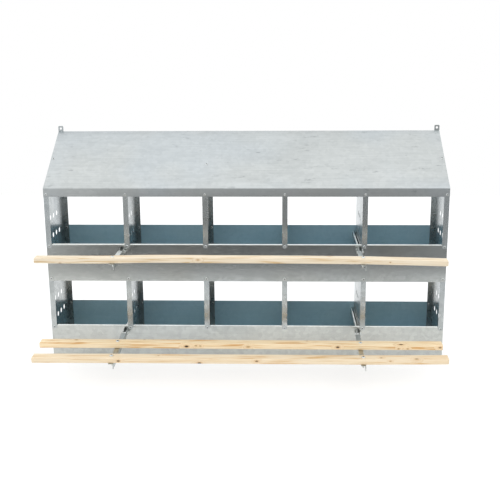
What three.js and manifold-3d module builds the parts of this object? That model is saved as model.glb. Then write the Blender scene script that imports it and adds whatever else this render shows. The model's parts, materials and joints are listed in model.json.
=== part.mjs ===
// A poultry nesting box: ten nests in two rows, folded from galvanised sheet, with a single-pitch
// roof, an open back, and pine perches on angle arms that fold up in front of the nests.
// Millimetres. x runs along the row of nests, y back from the front face, z up from the floor.
import * as THREE from 'three';
import { mergeVertices } from 'three/addons/utils/BufferGeometryUtils.js';
import Module from 'manifold-3d';

const wasm = await Module();
wasm.setup();

// Cabinet
const WIDTH = 1520;
const DEPTH = 280;
const COLUMNS = 5;
const COLUMN_PITCH = 300;
const TIER_HEIGHT = 325;
const LIP_HEIGHT = 148;
const EAVE_HEIGHT = 686;
const RIDGE_HEIGHT = 872;
const FASCIA_HEIGHT = 32;
const RIDGE_TURN = 25;

// Sheet metal
const SHEET = 1;
const GAP = 0.3;
const POST_WIDTH = 20;
const BACK_FLANGE = 18;
const LIP_LEAN_HEIGHT = 4.5;
const LIP_LEAN_DEPTH = 4;
const LIP_CLEARANCE = 1.8;
const FLOOR_EDGE = 14;
const TAB_OVERLAP = 18;
const TAB_TAPER = 5;
const TOP_TAB = 20;
const STRIP_ABOVE_LIP = 14;
const STRIP_BELOW_FLOOR = 14;
const FLANGE_INSET = 12;

// Ventilation holes in every end wall and divider
const VENT_RADIUS = 10;
const VENT_PITCH = 47;
const VENT_ROWS = [
  { count: 4, firstY: 57, aboveLip: 11 },
  { count: 3, firstY: 77, aboveLip: 85 },
];

// Hanging tabs, which are the end walls' back flanges carried up past the ridge
const HANGER_RISE = 20;
const HANGER_HOLE_RADIUS = 4.5;

// Perch rails, arms and perches
const RAIL_WIDTH = 14;
const RAIL_SHEET = 1.2;
const RAIL_LEFT_LIP = 5.5;
const RAIL_RIGHT_LIP = 3;
const RAIL_TOP_BELOW_LIP = 12;
const SLOT_GAP = 0.4;
const PIVOT_BELOW_LIP = 27;
const PIVOT_FORWARD = 14;
const RAIL_NOSE = 25;
const RAIL_FLOOR_DROP = 9.9;
const ARM_SHEET = 2;
const ARM_WIDTH = 18;
const ARM_HEIGHT = 22;
const ARM_EAR = 7;
const ARM_EAR_REACH = 13;
const ARM_STEP_REACH = 19;
const ARM_CORNER = 3;
const ARM_FROM_WALL = 1.8;
const ARM_TOP_START = 20;
const PERCH_DEPTH = 40;
const PERCH_HEIGHT = 20;
const PERCH_CHAMFER = 1.5;
const RAIL_COLUMNS = [1, 4];

// Fasteners
const BOLT_RADIUS = 3;
const BOLT_HOLE = 3.3;
const NUT_RADIUS = 5.6;
const NUT_HEIGHT = 4.8;
const BOLT_BELOW_NUT = 11;
const DOME_RADIUS = 7;
const DOME_HEIGHT = 2.9;
const SCREW_RADIUS = 2;
const SCREW_HEAD = 4.2;
const SCREW_LENGTH = 8;
const SCREW_ABOVE_EDGE = 8;
const FASCIA_DRILL = [-1, 4];
const TAB_CORNER = 3;
const FLANGE_CORNER = 0.5;

const TIERS = {
  lower: {
    base: 0, postLayer: 3, panelLayer: 4, floorLayer: 5,
    droop: 4.7, reach: 304,
    perches: { inner_lower_perch: { forward: 154, ends: [-761, 728] },
      outer_lower_perch: { forward: 278, ends: [-757, 728] } },
  },
  upper: {
    base: TIER_HEIGHT, postLayer: 1, panelLayer: 2, floorLayer: 4,
    droop: 1.8, reach: 210,
    perches: { upper_perch: { forward: 182, ends: [-753, 728] } },
  },
};

const roofSlope = (RIDGE_HEIGHT - EAVE_HEIGHT) / DEPTH;
const roofStretch = Math.hypot(1, roofSlope);

// Front face of the nth sheet counted back from the fascia, and rear face of the nth from the back.
const fromFront = (n) => n * (SHEET + GAP);
const fromBack = (n) => DEPTH - n * (SHEET + GAP);
// Height of the wall tops that carry the roof, at a distance y from the front.
const underRoof = (y) => EAVE_HEIGHT + roofSlope * y - (SHEET + GAP) * roofStretch;
const lipOf = (tier) => tier.base + LIP_HEIGHT;
const wallX = (column) => -WIDTH / 2 + column * COLUMN_PITCH;

const finish = {
  galvanised: { color: 0xbfc5c6, roughness: 0.42, metalness: 0.9 },
  zincPlated: { color: 0xcfd2d0, roughness: 0.3, metalness: 1 },
  pine: { color: 0xe6d2ab, roughness: 0.75, metalness: 0 },
};

const cabinet = new THREE.Group();
cabinet.position.set(0, -DEPTH / 2, 0);

function toSolid(geometry) {
  geometry.deleteAttribute('normal');
  geometry.deleteAttribute('uv');
  const merged = mergeVertices(geometry, 1e-4);
  return new wasm.Manifold(new wasm.Mesh({
    numProp: 3,
    vertProperties: new Float32Array(merged.attributes.position.array),
    triVerts: new Uint32Array(merged.index.array),
  }));
}

function addPart(name, solid, look, group = cabinet) {
  const { vertProperties, triVerts } = solid.getMesh();
  const geometry = new THREE.BufferGeometry();
  geometry.setAttribute('position', new THREE.BufferAttribute(new Float32Array(vertProperties), 3));
  geometry.setIndex(new THREE.BufferAttribute(new Uint32Array(triVerts), 1));
  geometry.computeVertexNormals();
  const mesh = new THREE.Mesh(geometry, new THREE.MeshStandardMaterial(look));
  mesh.name = name;
  group.add(mesh);
}

const unite = (solids) => solids.reduce((whole, next) => whole.add(next));
const cutAll = (solid, tools) => tools.reduce((left, tool) => left.subtract(tool), solid);

function block([x0, x1], [y0, y1], [z0, z1]) {
  const geometry = new THREE.BoxGeometry(Math.abs(x1 - x0), y1 - y0, z1 - z0);
  geometry.translate((x0 + x1) / 2, (y0 + y1) / 2, (z0 + z1) / 2);
  return toSolid(geometry);
}

function outline(points, holes) {
  const shape = new THREE.Shape(points.map(([a, b]) => new THREE.Vector2(a, b)));
  for (const hole of holes) {
    shape.holes.push(new THREE.Path().absarc(hole.at[0], hole.at[1], hole.radius, 0, 2 * Math.PI, true));
  }
  return shape;
}

function extrude(shape, depth) {
  return new THREE.ExtrudeGeometry(shape, { depth, bevelEnabled: false, curveSegments: 8 });
}

// A plate whose outline is given in y and z, between two values of x.
function plateAcrossX(shape, [x0, x1]) {
  const geometry = extrude(shape, Math.abs(x1 - x0));
  const axes = new THREE.Matrix4().set(0, 0, 1, Math.min(x0, x1), 1, 0, 0, 0, 0, 1, 0, 0, 0, 0, 0, 1);
  return toSolid(geometry.applyMatrix4(axes));
}

// A plate whose outline is given in x and z, between two values of y.
function plateAcrossY(shape, [y0, y1]) {
  const geometry = extrude(shape, y1 - y0);
  const axes = new THREE.Matrix4().set(1, 0, 0, 0, 0, 0, -1, y1, 0, 1, 0, 0, 0, 0, 0, 1);
  return toSolid(geometry.applyMatrix4(axes));
}

function rodAlongX(radius, [x0, x1], y, z, sides = 12) {
  const geometry = new THREE.CylinderGeometry(radius, radius, x1 - x0, sides);
  geometry.rotateZ(Math.PI / 2);
  geometry.translate((x0 + x1) / 2, y, z);
  return toSolid(geometry);
}

function rodAlongY(radius, x, [y0, y1], z, sides = 12) {
  const geometry = new THREE.CylinderGeometry(radius, radius, y1 - y0, sides);
  geometry.translate(x, (y0 + y1) / 2, z);
  return toSolid(geometry);
}

function rodAlongZ(radius, x, y, [z0, z1], sides = 12) {
  const geometry = new THREE.CylinderGeometry(radius, radius, z1 - z0, sides);
  geometry.rotateX(Math.PI / 2);
  geometry.translate(x, y, (z0 + z1) / 2);
  return toSolid(geometry);
}

// A low dome of revolution about z, its flat side down at z = 0.
function dome(radius, height, sides = 14) {
  const profile = [[0, 0], [radius, 0], [radius, height * 0.3], [radius * 0.8, height * 0.75],
    [radius * 0.4, height * 0.96], [0, height]];
  const geometry = new THREE.LatheGeometry(profile.map(([r, h]) => new THREE.Vector2(r, h)), sides);
  geometry.rotateX(Math.PI / 2);
  return geometry;
}

// The closed outline of a sheet folded along a line of points, its thickness to the line's left.
function foldedSheet(points, thickness) {
  const normals = points.slice(1).map(([a, b], i) => {
    const [a0, b0] = points[i];
    const length = Math.hypot(a - a0, b - b0);
    return [-(b - b0) / length, (a - a0) / length];
  });
  const inner = points.map(([a, b], i) => {
    const before = normals[Math.max(i - 1, 0)];
    const after = normals[Math.min(i, normals.length - 1)];
    const scale = thickness / (1 + before[0] * after[0] + before[1] * after[1]);
    return [a + (before[0] + after[0]) * scale, b + (before[1] + after[1]) * scale];
  });
  return [...points, ...inner.reverse()];
}

function fasciaScrewPlaces() {
  const walls = [...Array(COLUMNS).keys()].map((column) => wallX(column) + POST_WIDTH / 2);
  return [...walls, WIDTH / 2 - POST_WIDTH / 2];
}

// One folded sheet: fascia, slope and a short turn down behind the ridge. The rear corners are cut
// away so that the hanging tabs can rise past it.
function makeRoof() {
  const line = [[DEPTH, RIDGE_HEIGHT - RIDGE_TURN], [DEPTH, RIDGE_HEIGHT], [0, EAVE_HEIGHT],
    [0, EAVE_HEIGHT - FASCIA_HEIGHT]];
  const sheet = plateAcrossX(outline(foldedSheet(line, SHEET), []), [-WIDTH / 2, WIDTH / 2]);
  const corners = [-1, 1].map((side) => {
    const x = [side * (WIDTH / 2 + 1), side * (WIDTH / 2 - POST_WIDTH - 1)].sort((a, b) => a - b);
    return block(x, [fromBack(2), DEPTH + 1], [RIDGE_HEIGHT - RIDGE_TURN - 1, RIDGE_HEIGHT + 1]);
  });
  const screwZ = EAVE_HEIGHT - FASCIA_HEIGHT + SCREW_ABOVE_EDGE;
  const holes = fasciaScrewPlaces().map((x) => rodAlongY(SCREW_RADIUS + GAP, x, FASCIA_DRILL, screwZ));
  addPart('roof_panel', cutAll(sheet, [...corners, ...holes]), finish.galvanised);
}

// The flat outline of a front post, in x and z: a strip with a tapered tab at its foot.
function postOutline(faceX, inward, foot, top) {
  const across = (distance) => faceX + inward * distance;
  const points = [[across(0), foot + TAB_TAPER], [across(TAB_TAPER), foot],
    [across(POST_WIDTH - TAB_TAPER), foot], [across(POST_WIDTH), foot + TAB_TAPER],
    [across(POST_WIDTH), top], [across(0), top]];
  return outline(inward > 0 ? points : points.reverse(), []);
}

// A back flange, carried up on the end walls as a hanging tab with a hole.
function backFlange(faceX, inward, bottom, top, isHanger) {
  const width = isHanger ? POST_WIDTH : BACK_FLANGE;
  const corner = isHanger ? TAB_CORNER : FLANGE_CORNER;
  const across = (distance) => faceX + inward * distance;
  const points = [[across(0), bottom], [across(width), bottom], [across(width), top - corner],
    [across(width - corner), top], [across(corner), top], [across(0), top - corner]];
  const holes = isHanger ? [{ at: [across(width / 2), top - width / 2], radius: HANGER_HOLE_RADIUS }] : [];
  return plateAcrossY(outline(inward > 0 ? points : points.reverse(), holes),
    [fromBack(1) - SHEET, fromBack(1)]);
}

function ventHoles(lip) {
  return VENT_ROWS.flatMap((row) => [...Array(row.count).keys()].map((i) => (
    { at: [row.firstY + i * VENT_PITCH, lip + row.aboveLip], radius: VENT_RADIUS })));
}

// A nest wall: a web pierced by vents, with a post in front, a flange behind, and flanges that meet
// the floor below it and the roof or floor above it. The web steps back below the lip, to stand
// behind the front panel, while the post's tab hangs down in front of that panel.
function makeWall(name, tier, faceX, inward, isEnd) {
  const isUpper = tier === TIERS.upper;
  const lip = lipOf(tier);
  const postY = fromFront(tier.postLayer);
  const behindPanel = fromFront(tier.panelLayer) + LIP_LEAN_DEPTH + LIP_CLEARANCE;
  const rear = fromBack(1);
  const flatTop = TIER_HEIGHT - GAP;
  const topAt = (y) => (isUpper ? underRoof(y) : flatTop);
  const foot = tier.base + (isEnd ? 0 : SHEET + GAP);
  const rearFoot = isEnd ? rear : fromBack(3);
  const edgeTop = tier.base + FLOOR_EDGE + GAP;
  const web = [[behindPanel, foot], [rearFoot, foot], [rearFoot, edgeTop], [rear, edgeTop],
    [rear, topAt(rear)], [postY, topAt(postY)], [postY, lip + GAP], [behindPanel, lip + GAP]];
  const footFlangeZ = tier.base + SHEET + GAP;
  const flangeX = [faceX, faceX + inward * BACK_FLANGE].sort((a, b) => a - b);
  const flangeY = [FLANGE_INSET, DEPTH - FLANGE_INSET];
  const flangeDrop = isUpper ? SHEET * roofStretch : SHEET;
  const flangeTop = flangeY.map(topAt);
  const topFlange = [[flangeY[0], flangeTop[0] - flangeDrop], [flangeY[1], flangeTop[1] - flangeDrop],
    [flangeY[1], flangeTop[1]], [flangeY[0], flangeTop[0]]];
  const postTop = isUpper ? underRoof(postY) : TIER_HEIGHT + TOP_TAB;
  const isHanger = isEnd && isUpper;
  const backTop = isHanger ? RIDGE_HEIGHT + HANGER_RISE : topAt(rear - SHEET);
  const solid = unite([
    plateAcrossX(outline(web, ventHoles(lip)), [faceX, faceX + inward * SHEET]),
    plateAcrossY(postOutline(faceX, inward, lip - TAB_OVERLAP, postTop), [postY, postY + SHEET]),
    backFlange(faceX, inward, tier.base + GAP, backTop, isHanger),
    plateAcrossX(outline(topFlange, []), flangeX),
    block(flangeX, flangeY, [footFlangeZ, footFlangeZ + SHEET]),
  ]);
  const screwX = faceX + inward * POST_WIDTH / 2;
  const screwZ = EAVE_HEIGHT - FASCIA_HEIGHT + SCREW_ABOVE_EDGE;
  const screwHole = rodAlongY(SCREW_RADIUS + GAP, screwX, FASCIA_DRILL, screwZ);
  addPart(name, isUpper ? solid.subtract(screwHole) : solid, finish.galvanised);
}

function makeWalls(row, tier) {
  makeWall(`${row}_left_end_wall`, tier, wallX(0), 1, true);
  for (let column = 1; column < COLUMNS; column += 1) {
    makeWall(`${row}_divider_${column}`, tier, wallX(column), 1, false);
  }
  makeWall(`${row}_right_end_wall`, tier, WIDTH / 2, -1, true);
}

// Where a rail's channel lies: its x span beside the divider, and its top and underside.
function railPlace(tier, column) {
  const right = wallX(column) - GAP;
  const pivotZ = lipOf(tier) - PIVOT_BELOW_LIP;
  return {
    x: [right - RAIL_WIDTH, right],
    z: [pivotZ - RAIL_FLOOR_DROP, lipOf(tier) - RAIL_TOP_BELOW_LIP],
    pivotZ,
  };
}

// A front panel: a flat sheet whose lip leans back over the nest, with a slot for each rail.
function makeFrontPanel(row, tier) {
  const y = fromFront(tier.panelLayer);
  const lip = lipOf(tier);
  const line = [[y + LIP_LEAN_DEPTH, lip], [y, lip - LIP_LEAN_HEIGHT], [y, tier.base]];
  const sheet = plateAcrossX(outline(foldedSheet(line, SHEET), []), [-WIDTH / 2, WIDTH / 2]);
  const slots = RAIL_COLUMNS.map((column) => {
    const rail = railPlace(tier, column);
    return block([rail.x[0] - SLOT_GAP, rail.x[1] + SLOT_GAP], [y - SHEET, y + 2 * SHEET],
      [rail.z[0] - SLOT_GAP, rail.z[1] + SLOT_GAP]);
  });
  addPart(`${row}_front_panel`, cutAll(sheet, slots), finish.galvanised);
}

// A nest floor: a flat sheet turned up along its front and rear edges.
function makeFloor(row, tier) {
  const front = fromFront(tier.floorLayer);
  const rear = fromBack(2);
  const top = tier.base + FLOOR_EDGE;
  const line = [[front, top], [front, tier.base], [rear, tier.base], [rear, top]];
  const reach = WIDTH / 2 - SHEET - GAP;
  addPart(`${row}_nest_floor`, plateAcrossX(outline(foldedSheet(line, SHEET), []), [-reach, reach]),
    finish.galvanised);
}

// A back strip keeps litter and eggs in; the back is open above it.
function makeBackStrip(row, tier) {
  const bottom = tier.base === 0 ? 0 : tier.base - STRIP_BELOW_FLOOR;
  const top = lipOf(tier) + STRIP_ABOVE_LIP;
  const strip = block([-WIDTH / 2, WIDTH / 2], [DEPTH - SHEET, DEPTH], [bottom, top]);
  addPart(`${row}_back_strip`, strip, finish.galvanised);
}

// A rail: a channel, slotted along its top, that runs forward from the back strip along a divider
// and out through the front panel, where its open nose carries a perch arm on a bolt.
function makeRail(row, side, tier, column) {
  const rail = railPlace(tier, column);
  const [left, right] = rail.x;
  const [bottom, top] = rail.z;
  const line = [[left, top], [left, bottom], [right, bottom], [right, top]];
  const channel = plateAcrossY(outline(foldedSheet(line, RAIL_SHEET), []), [-RAIL_NOSE, fromBack(1)]);
  const lipY = [fromFront(tier.floorLayer), fromBack(1)];
  const lipZ = [top - RAIL_SHEET, top];
  const leftLip = block([left, left + RAIL_LEFT_LIP], lipY, lipZ);
  const rightLip = block([right - RAIL_RIGHT_LIP, right], lipY, lipZ);
  const endPlate = block(rail.x, [fromBack(1) - RAIL_SHEET, fromBack(1)], rail.z);
  const pivotHole = rodAlongX(BOLT_HOLE, [left - 1, right + 1], -PIVOT_FORWARD, rail.pivotZ);
  const solid = unite([channel, leftLip, rightLip, endPlate]).subtract(pivotHole);
  addPart(`${row}_${side}_rail`, solid, finish.galvanised);
}

// The hinge bolt lies across the rail's nose, with its nut on the divider's side.
function makeHingeBolt(row, side, tier, column) {
  const rail = railPlace(tier, column);
  const [left, right] = rail.x;
  const headX = [left - GAP - NUT_HEIGHT, left - GAP];
  const nutX = [right + GAP, right + GAP + NUT_HEIGHT];
  const head = rodAlongX(NUT_RADIUS, headX, -PIVOT_FORWARD, rail.pivotZ, 6);
  const shank = rodAlongX(BOLT_RADIUS, [headX[1] - 1, nutX[1] + 2], -PIVOT_FORWARD, rail.pivotZ);
  addPart(`${row}_${side}_hinge_bolt`, head.add(shank), finish.zincPlated);
  const nut = rodAlongX(NUT_RADIUS, nutX, -PIVOT_FORWARD, rail.pivotZ, 6);
  const bore = rodAlongX(BOLT_HOLE, [nutX[0] - 1, nutX[1] + 1], -PIVOT_FORWARD, rail.pivotZ);
  addPart(`${row}_${side}_hinge_nut`, nut.subtract(bore), finish.zincPlated);
}

const armBoltX = (column) => wallX(column) - ARM_FROM_WALL - ARM_WIDTH / 2;

// An arm is a length of angle: a top leg under the perches, and an upright leg that narrows to an ear
// round the pivot. It is drawn about its pivot, reaching towards -y.
function makeArm(row, side, tier, column, group) {
  const foot = ARM_EAR - ARM_HEIGHT;
  const length = tier.reach - PIVOT_FORWARD;
  const right = wallX(column) - ARM_FROM_WALL;
  const sideView = new THREE.Shape();
  sideView.moveTo(-length, ARM_EAR);
  sideView.lineTo(-length, foot + ARM_CORNER);
  sideView.lineTo(-length + ARM_CORNER, foot);
  sideView.lineTo(-ARM_STEP_REACH, foot);
  sideView.lineTo(-ARM_EAR_REACH, -ARM_EAR);
  sideView.lineTo(0, -ARM_EAR);
  sideView.absarc(0, 0, ARM_EAR, -Math.PI / 2, Math.PI / 2, false);
  const uprightLeg = plateAcrossX(sideView, [right - ARM_SHEET, right]);
  const topZ = [ARM_EAR - ARM_SHEET, ARM_EAR];
  const topLeg = block([right - ARM_WIDTH, right], [-length, -ARM_TOP_START], topZ);
  const pivotHole = rodAlongX(BOLT_HOLE, [right - ARM_SHEET - 1, right + 1], 0, 0);
  const perchHoles = Object.values(tier.perches).map(({ forward }) => rodAlongZ(
    BOLT_HOLE, armBoltX(column), PIVOT_FORWARD - forward, [topZ[0] - 1, topZ[1] + 1]));
  addPart(`${row}_${side}_arm`, cutAll(uprightLeg.add(topLeg), [pivotHole, ...perchHoles]),
    finish.galvanised, group);
}

// A perch: a planed batten with eased edges, drilled for a bolt over each arm.
function makePerch(name, { forward, ends }, group) {
  const y = PIVOT_FORWARD - forward;
  const bottom = ARM_EAR + GAP;
  const [y0, y1] = [y - PERCH_DEPTH / 2, y + PERCH_DEPTH / 2];
  const [z0, z1] = [bottom, bottom + PERCH_HEIGHT];
  const c = PERCH_CHAMFER;
  const section = [[y0 + c, z0], [y1 - c, z0], [y1, z0 + c], [y1, z1 - c], [y1 - c, z1], [y0 + c, z1],
    [y0, z1 - c], [y0, z0 + c]];
  const batten = plateAcrossX(outline(section, []), ends);
  const holes = RAIL_COLUMNS.map((column) => rodAlongZ(BOLT_HOLE, armBoltX(column), y, [z0 - 1, z1 + 1]));
  addPart(name, cutAll(batten, holes), finish.pine, group);
}

// A perch bolt: a domed head on the perch, and a nut under the arm's top leg.
function makePerchBolt(name, forward, column, group) {
  const x = armBoltX(column);
  const y = PIVOT_FORWARD - forward;
  const headZ = ARM_EAR + GAP + PERCH_HEIGHT + GAP;
  const nutTop = ARM_EAR - ARM_SHEET - GAP;
  const head = toSolid(dome(DOME_RADIUS, DOME_HEIGHT).translate(x, y, headZ));
  const shank = rodAlongZ(BOLT_RADIUS, x, y, [nutTop - NUT_HEIGHT - BOLT_BELOW_NUT, headZ + 1]);
  addPart(`${name}_bolt`, head.add(shank), finish.zincPlated, group);
  const nut = rodAlongZ(NUT_RADIUS, x, y, [nutTop - NUT_HEIGHT, nutTop], 6);
  const bore = rodAlongZ(BOLT_HOLE, x, y, [nutTop - NUT_HEIGHT - 1, nutTop + 1]);
  addPart(`${name}_nut`, nut.subtract(bore), finish.zincPlated, group);
}

// A perch frame folds about its hinge bolts as one: two arms and whatever perches they carry.
function makePerchFrame(row, tier) {
  const group = new THREE.Group();
  group.position.set(0, -PIVOT_FORWARD, lipOf(tier) - PIVOT_BELOW_LIP);
  group.rotation.x = THREE.MathUtils.degToRad(tier.droop);
  cabinet.add(group);
  const sides = { left: RAIL_COLUMNS[0], right: RAIL_COLUMNS[1] };
  for (const [side, column] of Object.entries(sides)) {
    makeRail(row, side, tier, column);
    makeHingeBolt(row, side, tier, column);
    makeArm(row, side, tier, column, group);
    for (const [perch, { forward }] of Object.entries(tier.perches)) {
      makePerchBolt(`${perch}_${side}`, forward, column, group);
    }
  }
  for (const [perch, place] of Object.entries(tier.perches)) {
    makePerch(perch, place, group);
  }
}

// Pan-head screws hold the fascia to the posts.
function makeRoofScrews() {
  const z = EAVE_HEIGHT - FASCIA_HEIGHT + SCREW_ABOVE_EDGE;
  fasciaScrewPlaces().forEach((x, i) => {
    const headShape = dome(SCREW_HEAD, 2, 12).rotateX(Math.PI / 2).translate(x, -GAP, z);
    const shank = rodAlongY(SCREW_RADIUS, x, [-GAP - 1, SCREW_LENGTH], z);
    addPart(`roof_screw_${i + 1}`, toSolid(headShape).add(shank), finish.zincPlated);
  });
}

makeRoof();
makeRoofScrews();
for (const [row, tier] of Object.entries(TIERS)) {
  makeWalls(row, tier);
  makeFrontPanel(row, tier);
  makeFloor(row, tier);
  makeBackStrip(row, tier);
  makePerchFrame(row, tier);
}

export default cabinet;
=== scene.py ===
# Galvanised nesting box with pine perches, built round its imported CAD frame. Metres, z up.
import json
import math
import bmesh
import bpy
import numpy as np
from mathutils import Matrix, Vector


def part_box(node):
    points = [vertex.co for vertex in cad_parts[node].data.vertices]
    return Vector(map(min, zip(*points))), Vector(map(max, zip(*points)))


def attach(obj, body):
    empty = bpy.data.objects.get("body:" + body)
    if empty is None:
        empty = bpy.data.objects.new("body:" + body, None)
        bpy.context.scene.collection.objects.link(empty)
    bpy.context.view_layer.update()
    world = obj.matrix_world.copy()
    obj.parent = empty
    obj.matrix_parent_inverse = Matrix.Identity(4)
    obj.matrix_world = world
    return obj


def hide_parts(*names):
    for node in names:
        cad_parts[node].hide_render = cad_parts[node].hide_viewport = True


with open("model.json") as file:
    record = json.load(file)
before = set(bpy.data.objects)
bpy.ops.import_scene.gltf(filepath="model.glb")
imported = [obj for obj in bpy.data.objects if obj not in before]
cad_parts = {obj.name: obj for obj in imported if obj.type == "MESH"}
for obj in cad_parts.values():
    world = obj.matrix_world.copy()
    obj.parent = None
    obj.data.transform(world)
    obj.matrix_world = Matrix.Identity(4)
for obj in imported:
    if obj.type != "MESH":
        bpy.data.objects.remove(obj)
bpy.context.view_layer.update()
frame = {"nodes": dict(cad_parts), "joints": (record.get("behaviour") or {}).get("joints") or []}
scene = bpy.context.scene
mm = 0.001
hair = 0.01 * mm  # too small to see, and enough to keep two stations apart
joints = {joint["child"]: joint for joint in frame["joints"]}
rows = ("lower", "upper")
sides = ("left", "right")
wallNames = ["left_end_wall"] + [f"divider_{i}" for i in range(1, 5)] + ["right_end_wall"]


# An sRGB hex colour as linear red, green and blue, with a full alpha.
def toLinear(hexColour):
    channels = [int(hexColour[i:i + 2], 16) / 255 for i in (1, 3, 5)]
    return tuple(c / 12.92 if c <= 0.04045 else ((c + 0.055) / 1.055) ** 2.4 for c in channels) + (1.0,)


def addNode(tree, kind, settings=None, values=None, links=None):
    node = tree.nodes.new(kind)
    for key, value in (settings or {}).items():
        setattr(node, key, value)
    for socket, value in (values or {}).items():
        node.inputs[socket].default_value = value
    for socket, source in (links or {}).items():
        tree.links.new(source, node.inputs[socket])
    return node


def newMaterial(name):
    material = bpy.data.materials.new(name)
    material.use_nodes = True
    material.node_tree.nodes.clear()
    return material, material.node_tree


def finishMaterial(tree, surface):
    addNode(tree, "ShaderNodeOutputMaterial", links={"Surface": surface})


def centreOf(node):
    low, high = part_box(node)
    return (low + high) / 2


# A node's name, such as upper_perch_left, as upperPerchLeft.
def camelName(node):
    first, *others = node.split("_")
    return first + "".join(word.title() for word in others)


# Place in metres, turns in degrees, lens and sensor in millimetres.
camera = {"place": (0.1421, -3.2979, 1.2259), "yaw": -2.245, "pitch": 13.804, "roll": -0.389,
          "lens": 61.81, "sensor": 36, "clipStart": 0.05, "clipEnd": 60}


# The view is level and along y at first, then turned by the yaw, tipped down by the pitch and rolled.
def makeCamera():
    yaw, pitch, roll = (math.radians(camera[key]) for key in ("yaw", "pitch", "roll"))
    forward = np.array([math.sin(yaw) * math.cos(pitch), math.cos(yaw) * math.cos(pitch), -math.sin(pitch)])
    level = np.array([math.cos(yaw), -math.sin(yaw), 0.0])
    rise = np.cross(level, forward)
    right = math.cos(roll) * level + math.sin(roll) * rise
    up = -math.sin(roll) * level + math.cos(roll) * rise
    data = bpy.data.cameras.new("camera")
    data.lens = camera["lens"]
    data.sensor_width = camera["sensor"]
    data.clip_start = camera["clipStart"]
    data.clip_end = camera["clipEnd"]
    holder = bpy.data.objects.new("camera", data)
    scene.collection.objects.link(holder)
    matrix = np.eye(4)
    matrix[:3, 0], matrix[:3, 1], matrix[:3, 2], matrix[:3, 3] = right, up, -forward, camera["place"]
    holder.matrix_world = Matrix(matrix.tolist())
    scene.camera = holder


makeCamera()
print("camera placed")


# Hot-dip galvanised sheet: a bright grey zinc skin with a fine spangle, faint rolling streaks along
# the coil, cloudy handling marks and small dark specks. It mirrors softly, more where it is light,
# and its tone drifts a little between cool and warm. Sizes are in millimetres. The streaks and specks
# of a real sheet are finer, and are drawn this coarse to show. Stretches are along the coil; the casts
# are what red, green and blue are multiplied by.
zincSheet = {"spangle": 14, "streak": 3.5, "cloud": 120, "patch": 55, "speck": 26, "wave": 260, "drift": 300,
             "streakStretch": 0.02, "cloudStretch": 0.3, "patchTint": 0.1, "waveHeight": 12.0,
             "bumpStrength": 0.35, "bumpDepth": 0.12, "scuffTone": "#5a5f60", "scuffFade": 0.08,
             "scuffCover": 0.4, "darkBelow": 0.55, "lightAbove": 0.45, "glossSpan": 0.6, "duller": 0.09,
             "shinier": 0.07, "coolCast": (0.985, 1.0, 1.012, 1), "warmCast": (1.005, 1.0, 0.982, 1)}


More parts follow.
